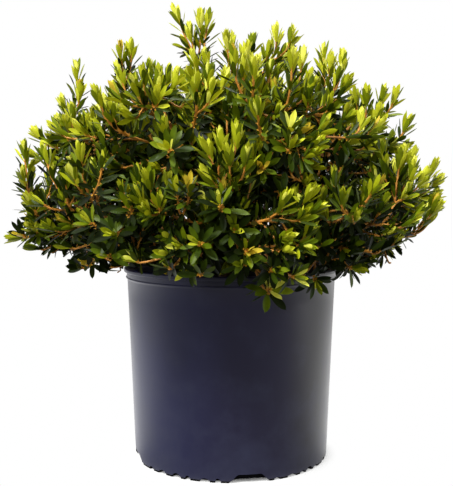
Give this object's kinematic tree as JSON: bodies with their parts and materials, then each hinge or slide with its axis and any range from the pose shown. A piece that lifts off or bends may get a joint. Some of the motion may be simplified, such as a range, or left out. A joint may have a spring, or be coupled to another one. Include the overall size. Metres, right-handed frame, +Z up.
{
  "type": "azalea shrub",
  "caption": "Dense domed evergreen azalea shrub with upright leafy shoots, standing in a round black plastic nursery pot full of potting mix.",
  "frame": {"origin": "centre of the flat underside of the pot, where the pot's axis meets the ground", "axes": "+Z up along the pot's axis; -Y is the front, the side that the drain notch and the low hanging shoot face; +X is the shrub's right as seen from the front"},
  "size_m": [0.6167, 0.5787, 0.5926],
  "materials": {
    "pot": "moulded polyethylene with a satin sheen",
    "potting_mix": "moist bark and peat, matt",
    "bark": "thin matt bark",
    "foliage": "leathery leaves with a slight sheen"
  },
  "bodies": {
    "root": {"pot": "pot", "potting_mix": "potting_mix", "trunk": "bark", "bough_lower_right": "bark", "bough_lower_back_right": "bark", "bough_lower_back": "bark", "bough_lower_back_left": "bark", "bough_lower_left": "bark", "bough_lower_front_left": "bark", "bough_lower_front": "bark", "bough_lower_front_right": "bark", "bough_upper_right": "bark", "bough_upper_back_right": "bark", "bough_upper_back_left": "bark", "bough_upper_left": "bark", "bough_upper_front_left": "bark", "bough_upper_front_right": "bark", "bough_top": "bark", "foliage_lower_right": "foliage", "foliage_lower_back_right": "foliage", "foliage_lower_back": "foliage", "foliage_lower_back_left": "foliage", "foliage_lower_left": "foliage", "foliage_lower_front_left": "foliage", "foliage_lower_front": "foliage", "foliage_lower_front_right": "foliage", "foliage_upper_right": "foliage", "foliage_upper_back_right": "foliage", "foliage_upper_back_left": "foliage", "foliage_upper_left": "foliage", "foliage_upper_front_left": "foliage", "foliage_upper_front_right": "foliage", "foliage_top": "foliage"}
  },
  "joints": []
}
